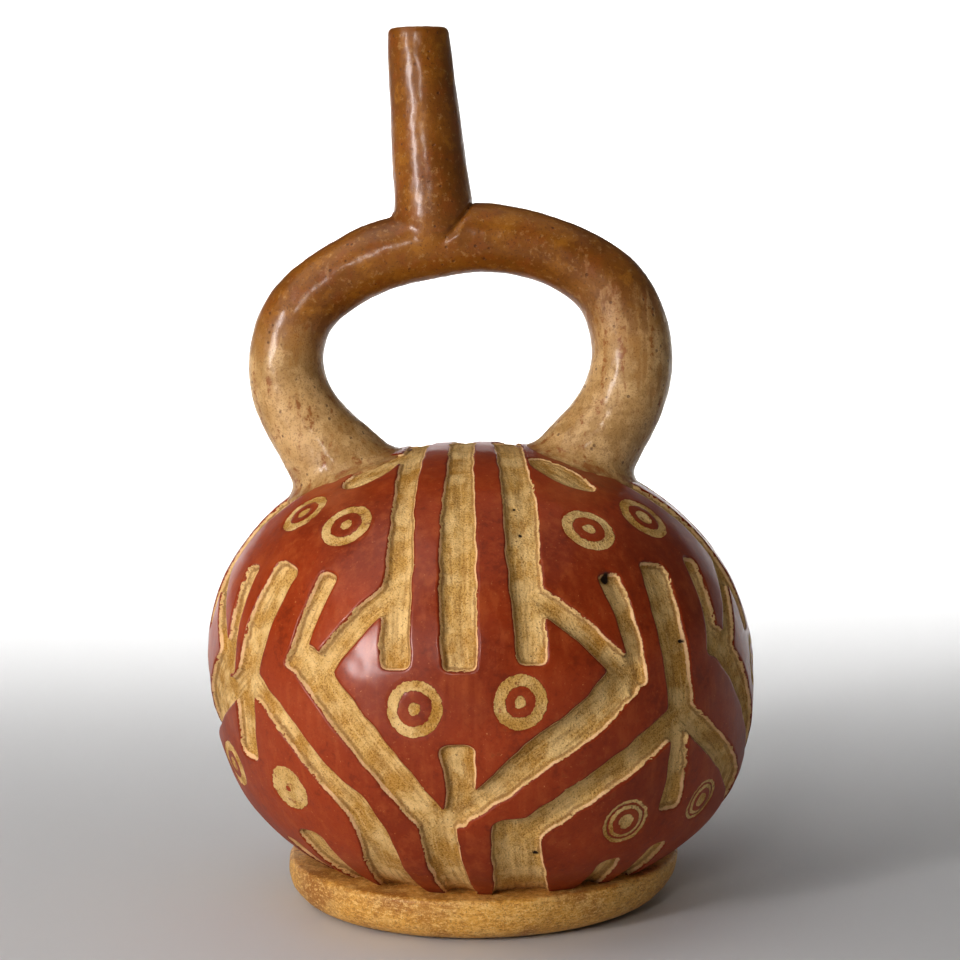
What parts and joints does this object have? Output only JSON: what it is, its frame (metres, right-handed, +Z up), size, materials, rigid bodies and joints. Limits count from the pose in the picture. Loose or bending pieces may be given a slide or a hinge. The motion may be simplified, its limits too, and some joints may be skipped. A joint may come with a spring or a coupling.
{
  "type": "stirrup-spout bottle",
  "caption": "Ceramic bottle with a round carved body on a low round foot and a hollow stirrup handle that carries a tapering spout.",
  "frame": {"origin": "on the surface the bottle stands on, under the middle of its bounding box", "axes": "+Z up through the body, -Y towards the viewer of the front, +X to the viewer's right along the plane of the stirrup"},
  "size_m": [0.1515, 0.1509, 0.24],
  "materials": {
    "fired_clay": "burnished red slip on the skin of the body, bare buff clay in the carved strokes, orange-brown stirrup and spout, ochre foot"
  },
  "bodies": {
    "root": {"stirrup_spout_bottle": "fired_clay"}
  },
  "joints": []
}
